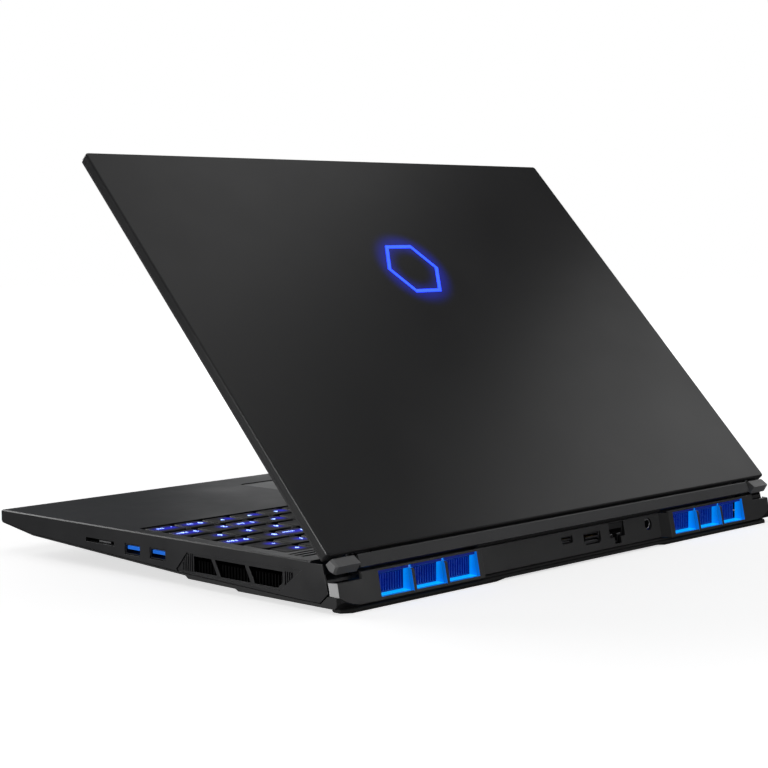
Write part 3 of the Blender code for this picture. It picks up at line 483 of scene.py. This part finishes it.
# ---- keyboard ----
KEY_U = 18.98
KEY_GAP = 2.3
KEYBOARD_X = 9 * KEY_U
KEY_TOP = -0.3
KEY_BASE = -2.1
ROW_Y = [120.4 + KEY_U * i for i in range(5)] + [213.3]
FUNCTION_DEPTH = 14.2
LEGEND_INSET = 2.4
LETTER, WORD, SECOND = 4.8, 3.3, 2.9  # sizes of a lone letter, of a word and of a second legend
SECOND_SHIFT = 6.2
KEY_ROWS = {
    "key_row_space": ([1.25, 1, 1, 1.25, 5.5] + [1] * 8,
                      ["Ctrl", "Fn", "#", "Alt", "", "Alt Gr", "=", "Ctrl", "<", "v", ">", "0 Ins", ". Del"]),
    "key_row_shift": ([2.25] + [1] * 10 + [1.75] + [1] * 4,
                      ["Shift", *"ZXCVBNM", ", ;", ". :", "/ ?", "Shift", "^", "1 End", "2", "3 PgDn"]),
    "key_row_home": ([1.75] + [1] * 11 + [2.25] + [1] * 3,
                     ["Caps Lock", *"ASDFGHJKL", "; :", "' @", "Enter", "4", "5", "6"]),
    "key_row_upper": ([1.5] + [1] * 12 + [1.5] + [1] * 3,
                      ["Tab", *"QWERTYUIOP", "[ {", "] }", "# ~", "7 Home", "8", "9 PgUp"]),
    "key_row_number": ([1] * 13 + [2] + [1] * 3,
                       ["`", *"1234567890", "- _", "= +", "Backspace", "Num", "/", "*"]),
    "key_row_function": ([1] * 18,
                         ["Esc", *[f"F{i}" for i in range(1, 13)], "PrtSc", "Del", "Home", "-", "+"]),
}


NO_LEGEND = P(0, 0, -80.0)  # so far off that its painted halo doesn't reach the key


def keycap(bm, x0, x1, y0, y1, layers, legend_at, legend_half):
    """Key with sloped sides and a dished top. Each vertex holds the place and half width of the key's legend."""
    rings = []
    for inset, z in ((0.0, KEY_BASE), (0.35, KEY_TOP - 0.75), (0.6, KEY_TOP - 0.2), (0.95, KEY_TOP - 0.02),
                     (1.5, KEY_TOP), (3.2, KEY_TOP - 0.12), (5.4, KEY_TOP - 0.18)):
        outline = rounded(x0 + inset, x1 - inset, y0 + inset, y1 - inset, max(0.6, 1.5 - inset * 0.25), 3)
        rings.append([P(x, y, z) for x, y in outline])
    for row in loft(bm, rings):
        for vert in row:
            vert[layers[0]] = legend_at
            vert[layers[1]] = legend_half


def add_text(bm, text, x, y, z, size):
    """Flat lettering from Blender's own font, its lower left corner at x, y."""
    curve = bpy.data.curves.new("lettering", "FONT")
    curve.body = text
    curve.size = size * MM
    curve.resolution_u = 2
    curve.offset = 0.025 * size * MM
    helper = bpy.data.objects.new("lettering", curve)
    bpy.context.scene.collection.objects.link(helper)
    bpy.context.view_layer.update()
    mesh = helper.to_mesh()
    mesh.transform(Matrix.Translation(P(x, y, z)))
    bm.from_mesh(mesh)
    helper.to_mesh_clear()
    bpy.data.objects.remove(helper)
    bpy.data.curves.remove(curve)


ARROW = ((-1.5, -0.6), (1.5, -0.6), (0.0, 1.5))
ARROW_TURNS = {"<": pi / 2, ">": -pi / 2, "^": 0.0, "v": pi}


def add_arrow(bm, x, y, z, turn):
    c, s = cos(turn), sin(turn)
    bm.faces.new([bm.verts.new(P(x + a * c - b * s, y + a * s + b * c, z)) for a, b in ARROW])


def build_keys(mats):
    """Keycaps and legends, one piece of each for every row, in place of the row's plain CAD block."""
    for (name, (widths, legends)), y in zip(KEY_ROWS.items(), ROW_Y):
        depth = FUNCTION_DEPTH if name == "key_row_function" else KEY_U - KEY_GAP
        caps = bmesh.new()
        layers = (caps.verts.layers.float_vector.new("legend"), caps.verts.layers.float.new("legend_half"))
        text = bmesh.new()
        x = -KEYBOARD_X
        z = KEY_TOP + 0.03
        for width, legend in zip(widths, legends):
            x0, x1 = x + KEY_GAP / 2, x + width * KEY_U - KEY_GAP / 2
            x += width * KEY_U
            split = len(legend) > 2 and legend[0] in "0123456789.,/;'[]-=#"
            main, _, second = legend.partition(" ") if split else (legend, "", "")
            size = LETTER if len(main) == 1 else WORD
            left, top = x0 + LEGEND_INSET, y + depth / 2 - (5.2 if depth == FUNCTION_DEPTH else 7.6)
            span = size * 0.52 * max(1, len(main))
            if second:
                span = max(span, SECOND_SHIFT + 1.5 * len(second))
            at = P(left + span / 2, top - size * 0.36, KEY_TOP) if legend else NO_LEGEND
            keycap(caps, x0, x1, y - depth / 2, y + depth / 2, layers, at, max(0.0, span / 2 - 1.2) * MM)
            if main in ARROW_TURNS:
                add_arrow(text, (x0 + x1) / 2, y, z, ARROW_TURNS[main])
            elif main:
                add_text(text, main, left, top - size * 0.72, z, size)
            if second:
                add_text(text, second, left + SECOND_SHIFT, top - size * 0.72, z, SECOND)
        made = finish_object(name.replace("key_row", "keycaps"), caps, mats["key"], name, 40.0)
        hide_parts(name)
        finish_object(name.replace("key_row", "legends"), text, mats["legend"], name, 0.0)


# ---- small parts ----
SIDE_X = HALF_W - 0.9
USB_Z = -9.45
USB_RIGHT_Y = (115.6, 135.8)
USB_LEFT_Y = 94.0


def disc(bm, x, y, z, radius, height, steps=20, hole=0.0, place=P):
    """Upright disc or ring with a chamfered rim. A negative height points it down."""
    chamfer = min(0.15, abs(height) * 0.4) * (1 if height > 0 else -1)
    levels = [(radius, z), (radius, z + height - chamfer), (radius - abs(chamfer), z + height)]
    if hole:
        levels += [(hole + abs(chamfer), z + height), (hole, z + height - chamfer), (hole, z)]
    rings = [[place(x + a, y + b, h) for a, b in circle(r, steps)] for r, h in levels]
    rows = loft(bm, rings, (False, not hole))
    if hole:
        count = len(rows[0])
        for i in range(count):
            j = (i + 1) % count
            bm.faces.new((rows[-1][i], rows[-1][j], rows[0][j], rows[0][i]))


def build_side_details(mats):
    """Ribbed ends of the side vents, and blue tongues with their contacts in the USB sockets."""
    for side, tag in ((1, "right"), (-1, "left")):
        ribs = bmesh.new()
        lo, hi = sorted((side * (SIDE_X - 0.1), side * (SIDE_X + 0.75)))
        for i in range(6):
            y = 154.6 + 1.35 * i
            top = min(-6.4, -15.0 + (y - 151.0) * 9.3 / 8.5)
            block(ribs, (lo, y, -15.1), (hi, y + 0.6, top), 0.08)
        for i in range(4):
            y = 228.4 + 1.45 * i
            low = -15.2 + max(0.0, y - 226.6) * 11.5 / 14.6
            block(ribs, (lo, y, low + 0.6), (hi, y + 0.6, -6.9), 0.08)
        finish_object(f"vent_ribs_{tag}", ribs, mats["case"], "base", 0.0)
    for side, y, tag in ((1, USB_RIGHT_Y[0], "right_1"), (1, USB_RIGHT_Y[1], "right_2"), (-1, USB_LEFT_Y, "left")):
        lo, hi = sorted((side * 166.0, side * 179.1))
        tongue = bmesh.new()
        block(tongue, (lo, y - 4.15, USB_Z), (hi, y + 5.55, USB_Z + 1.8), 0.12)
        finish_object(f"usb_tongue_{tag}", tongue, mats["tongue"], "base", 0.0)
        lo, hi = sorted((side * 170.0, side * 178.2))
        contacts = bmesh.new()
        for i in range(4):
            at = y - 3.2 + 2.3 * i
            block(contacts, (lo, at, USB_Z - 0.16), (hi, at + 1.0, USB_Z + 0.02), 0.03)
        finish_object(f"usb_contacts_{tag}", contacts, mats["contact"], "base", 0.0)


VENT_CELLS = [(82.2, 104.3), (106.2, 127.4), (129.3, 151.0)]
# Middles of the sockets in the rear wall, x and z.
USB_C = (6.0, -11.3)
HDMI = (-15.0, -12.9)
ETHERNET = (-36.6, -11.0)
ETHERNET_HALF_H = 3.6
DC_JACK = (-65.0, -11.6, 3.0)  # and its radius


def contact_row(bm, count, start, pitch, width, along, heights, chamfer):
    """Contacts side by side in X, each between two places in Y and two in Z."""
    for i in range(count):
        at = start + pitch * i
        block(bm, (at, along[0], heights[0]), (at + width, along[1], heights[1]), chamfer)


def build_rear_details(mats):
    """Contacts and springs in the rear sockets, painted shade blocks at the tops of the vents, the hinge bar's lip,
    and the power inlet's ring.
    """
    contacts = bmesh.new()
    x, z = ETHERNET
    top = z + ETHERNET_HALF_H
    contact_row(contacts, 8, x - 3.9, 1.02, 0.45, (246.0, 254.6), (top - 1.5, top - 0.9), 0.05)
    x, z = HDMI
    contact_row(contacts, 9, x - 4.6, 1.0, 0.45, (249.0, 256.2), (z + 0.75, z + 0.95), 0.03)
    x, z = USB_C
    contact_row(contacts, 6, x - 2.6, 0.85, 0.4, (249.0, 256.0), (z + 0.35, z + 0.5), 0.03)
    finish_object("rear_contacts", contacts, mats["contact"], "base", 0.0)
    springs = bmesh.new()
    x, z = ETHERNET
    for lo, hi in ((x - 5.4, x - 2.1), (x + 2.1, x + 5.4)):
        block(springs, (lo, 252.0, z - 2.95), (hi, 256.2, z - 2.35), 0.15)
    block(springs, (x + 5.05, 252.0, z - 2.0), (x + 5.45, 256.2, z + 0.35), 0.1)
    x, z = HDMI
    block(springs, (x - 5.0, 250.0, z - 1.56), (x + 5.0, 256.85, z - 1.36), 0.05)
    block(springs, (x - 6.35, 252.0, z - 0.9), (x - 6.15, 256.85, z + 1.9), 0.05)
    x, z = USB_C
    block(springs, (x - 3.0, 250.0, z - 1.06), (x + 3.0, 256.55, z - 0.92), 0.03)
    finish_object("rear_shield_springs", springs, mats["steel"], "base", 0.0)
    for side, tag in ((1, "right"), (-1, "left")):
        # Painted shade: dark blocks in the fin colour cover the liner's top bar across the top of each vent window.
        # Their fronts carry the fins' painted glow, and their tops are black so that no glow shows from above.
        shades = bmesh.new()
        for near, far in VENT_CELLS:
            lo, hi = sorted((side * (near + 0.05), side * (far - 0.05)))
            block(shades, (lo, 259.4, -8.2), (hi, 260.6, -6.75), 0.1)
        shade = finish_object(f"vent_shade_{tag}", shades, mats["fin"], "base", 0.0)
        shade.data.materials.append(mats["inner"])
        for face in shade.data.polygons:
            if face.normal.z > 0.5:
                face.material_index = 1
    lip = bmesh.new()
    block(lip, (-76.5, 255.3, -5.95), (76.5, 257.4, -5.0), 0.2)
    finish_object("hinge_bar_lip", lip, mats["rubber"], "lid", 0.0)
    card = bmesh.new()
    block(card, (170.0, 85.6, -8.9), (177.6, 95.4, -7.75), 0.15)
    finish_object("card_slot_spring", card, mats["steel"], "base", 0.0)
    x, z, radius = DC_JACK
    profile = ((radius - 0.65, 256.2), (radius - 0.7, 256.62), (radius - 0.35, 256.72), (radius - 0.05, 256.6))
    rings = [[P(x + a, y, z + b) for a, b in circle(r, 24)] for r, y in profile]
    ring = bmesh.new()
    loft(ring, rings, (False, False))
    finish_object("inlet_ring", ring, mats["steel"], "base", 40.0)


def build_other_details(mats):
    """Screws in the bottom, the camera's lens ring and the sign on the power button."""
    screws = bmesh.new()
    for places, y, z in (((-130.0, 0.0, 130.0), 245.0, -20.8), ((-130.0, 0.0, 130.0), 140.0, -18.2),
                         ((-60.0, 60.0), 60.0, -15.5)):
        for x in places:
            disc(screws, x, y, z, 2.5, -0.55, 20, 1.15)
            disc(screws, x, y, z, 1.2, -0.2, 6)
    finish_object("bottom_screws", screws, mats["dark_steel"], "base", 30.0)
    lens = bmesh.new()
    disc(lens, 0.0, 5.0, 0.95, 1.45, -0.45, 24, 0.8, on_lid)
    finish_object("lens_ring", lens, mats["inner"], "lid", 30.0)
    sign = bmesh.new()
    disc(sign, 0.0, 232.1, -0.22, 1.5, 0.1, 24, 1.15)
    block(sign, (-0.17, 232.4, -0.22), (0.17, 234.2, -0.1), 0.03)
    finish_object("power_sign", sign, mats["print"], "power_button", 0.0)


def main():
    mats = make_materials()
    bpy.context.view_layer.update()
    set_camera()
    for look, bevel, names in CAD_LOOKS:
        for name in names:
            dress(name, mats[look], bevel)
    paint_faces("top_cover", [mats["case"], mats["deck"]], top_cover_look)
    paint_faces("rear_frame", [mats["frame"], mats["blue"], mats["facet"]], rear_frame_look)
    for name in pair("exhaust_liner"):
        paint_faces(name, [mats["blue"], mats["azure"], mats["inner"]], liner_look)
    build_keys(mats)
    build_side_details(mats)
    build_rear_details(mats)
    build_other_details(mats)
    set_stage()


# ---- stage and light ----
# Name, place, width and height, power, and the point that the lamp faces, in metres and watts.
LAMPS = (
    ("overhead", (-0.1, 0.15, 1.5), (1.6, 1.6), 4.2, (0, 0, 0.05)),
    ("low_sheen", (-0.60, 0.27, 0.38), (0.45, 0.30), 0.36, (0, 0.1, 0.1)),
    ("high_sheen", (-0.42, -0.08, 0.72), (0.26, 0.26), 0.12, (0, 0.1, 0.1)),
    ("deck_sheen", (-2.2, -1.9, 0.4), (1.2, 0.6), 1.7, (0, 0, 0.02)),
    ("side", (0.95, -0.20, 0.07), (0.45, 0.13), 3.6, (0, -0.20, 0.07)),
    ("front_fill", (0.3, -1.8, 0.9), (1.2, 0.8), 12.0, (0, 0, 0.05)),
    ("left_fill", (-1.8, -0.5, 0.25), (1.0, 0.4), 3.0, (0, 0, 0.03)),
    ("rear_fill", (-0.4, 1.8, 0.5), (0.9, 0.5), 1.4, (0, 0.1, 0.05)),
    ("rear_strip", (-0.52, 1.0, 0.08), (0.4, 0.15), 0.55, (0.1, 0.13, 0.02)),
    ("corner_fill", (0.8, 1.5, 0.40), (0.8, 0.5), 2.6, (0.1, 0.1, 0.03)),
)


def set_stage():
    """White floor with a soft shadow under the object, partly cast by the lamps and partly painted by weakening its
    glow near the object, white backdrop, dim surroundings, and the lamps.
    """
    scene = bpy.context.scene
    scene.view_settings.view_transform = "Standard"
    bm = bmesh.new()
    loft(bm, [[Vector((a, b, 0.0)) for a, b in circle(radius, 64)] for radius in (6.0, 0.5)], (False, True))
    n = Nodes("floor_white")
    n.shader.inputs["Base Color"].default_value = (0.85, 0.85, 0.85, 1.0)
    n.shader.inputs["Roughness"].default_value = 0.9
    n.shader.inputs["Emission Color"].default_value = (1.0, 1.0, 1.0, 1.0)
    away = n.make("ShaderNodeVectorMath", operation="LENGTH")
    n.link(n.at, away.inputs[0])
    # Painted shadow: the floor's glow is weaker near the object and rises with distance from the middle.
    n.link(n.remap(away.outputs["Value"], 0.2, 0.9, 0.66, 1.0, True), n.shader.inputs["Emission Strength"])
    floor = finish_object("floor", bm, n.material, None, 0.0)
    floor.visible_glossy = False
    floor.visible_diffuse = False

    world = bpy.data.worlds.new("studio")
    scene.world = world
    world.use_nodes = True
    tree = world.node_tree
    paper = tree.nodes["Background"]
    paper.inputs["Color"].default_value = (1, 1, 1, 1)
    dim = tree.nodes.new("ShaderNodeBackground")
    dim.inputs["Color"].default_value = (0.06, 0.06, 0.062, 1)
    rays = tree.nodes.new("ShaderNodeLightPath")
    pick = tree.nodes.new("ShaderNodeMixShader")
    tree.links.new(rays.outputs["Is Camera Ray"], pick.inputs["Fac"])
    tree.links.new(dim.outputs["Background"], pick.inputs[1])
    tree.links.new(paper.outputs["Background"], pick.inputs[2])
    tree.links.new(pick.outputs["Shader"], tree.nodes["World Output"].inputs["Surface"])

    for name, place, size, power, aim in LAMPS:
        data = bpy.data.lights.new(name, "AREA")
        data.shape = "RECTANGLE"
        data.size, data.size_y = size
        data.energy = power
        lamp = bpy.data.objects.new(name, data)
        scene.collection.objects.link(lamp)
        lamp.location = place
        lamp.rotation_euler = (Vector(place) - Vector(aim)).to_track_quat("Z", "Y").to_euler()
        lamp.visible_camera = False


main()
